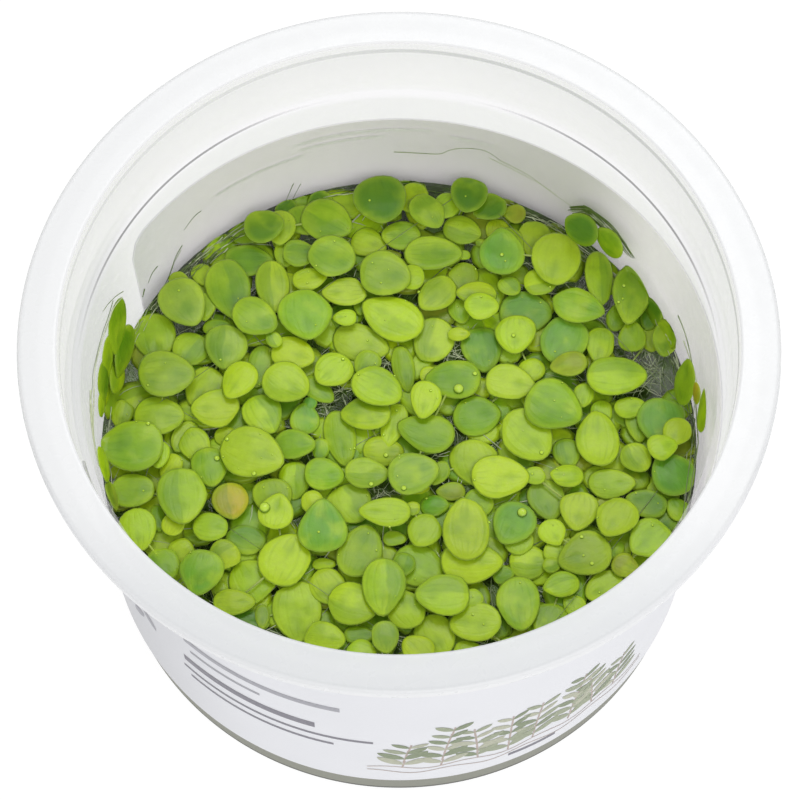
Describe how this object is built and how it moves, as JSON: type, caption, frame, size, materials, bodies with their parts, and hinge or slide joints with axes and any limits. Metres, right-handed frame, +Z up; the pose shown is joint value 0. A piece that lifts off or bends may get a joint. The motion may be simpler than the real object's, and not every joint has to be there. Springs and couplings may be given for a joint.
{
  "type": "bowl of floating pond plants",
  "caption": "Clear round plastic cup with a wrap label, holding water covered by a floating mat of giant duckweed.",
  "frame": {"origin": "middle of the cup's foot, at the surface it stands on", "axes": "+Z up the cup's axis; -Y towards the viewer of the picture, +X to the viewer's right"},
  "size_m": [0.108, 0.108, 0.067],
  "materials": {
    "cup": "milky see-through thin plastic, smooth",
    "label": "coated satin label",
    "water": "still water, tinted by the plants",
    "duckweed": "waxy leaf surface, light to deep green",
    "roots": "wet thin roots",
    "droplets": "water drops"
  },
  "bodies": {
    "root": {"cup": "cup", "label": "label", "water": "water", "colony_01": "duckweed", "colony_02": "duckweed", "colony_03": "duckweed", "colony_04": "duckweed", "colony_05": "duckweed", "colony_06": "duckweed", "colony_07": "duckweed", "colony_08": "duckweed", "colony_09": "duckweed", "colony_10": "duckweed", "colony_11": "duckweed", "colony_12": "duckweed", "colony_13": "duckweed", "colony_14": "duckweed", "colony_15": "duckweed", "colony_16": "duckweed", "colony_17": "duckweed", "colony_18": "duckweed", "colony_19": "duckweed", "colony_20": "duckweed", "colony_21": "duckweed", "colony_22": "duckweed", "colony_23": "duckweed", "colony_24": "duckweed", "colony_25": "duckweed", "colony_26": "duckweed", "colony_27": "duckweed", "colony_28": "duckweed", "colony_29": "duckweed", "colony_30": "duckweed", "colony_31": "duckweed", "colony_32": "duckweed", "colony_33": "duckweed", "colony_34": "duckweed", "colony_35": "duckweed", "colony_36": "duckweed", "colony_37": "duckweed", "colony_38": "duckweed", "colony_39": "duckweed", "colony_40": "duckweed", "colony_41": "duckweed", "colony_42": "duckweed", "colony_43": "duckweed", "colony_44": "duckweed", "colony_45": "duckweed", "colony_46": "duckweed", "colony_47": "duckweed", "colony_48": "duckweed", "colony_49": "duckweed", "colony_50": "duckweed", "colony_51": "duckweed", "colony_52": "duckweed", "leaning_colony_left": "duckweed", "leaning_colony_front_left": "duckweed", "leaning_colony_back": "duckweed", "leaning_colony_right": "duckweed"}
  },
  "joints": []
}
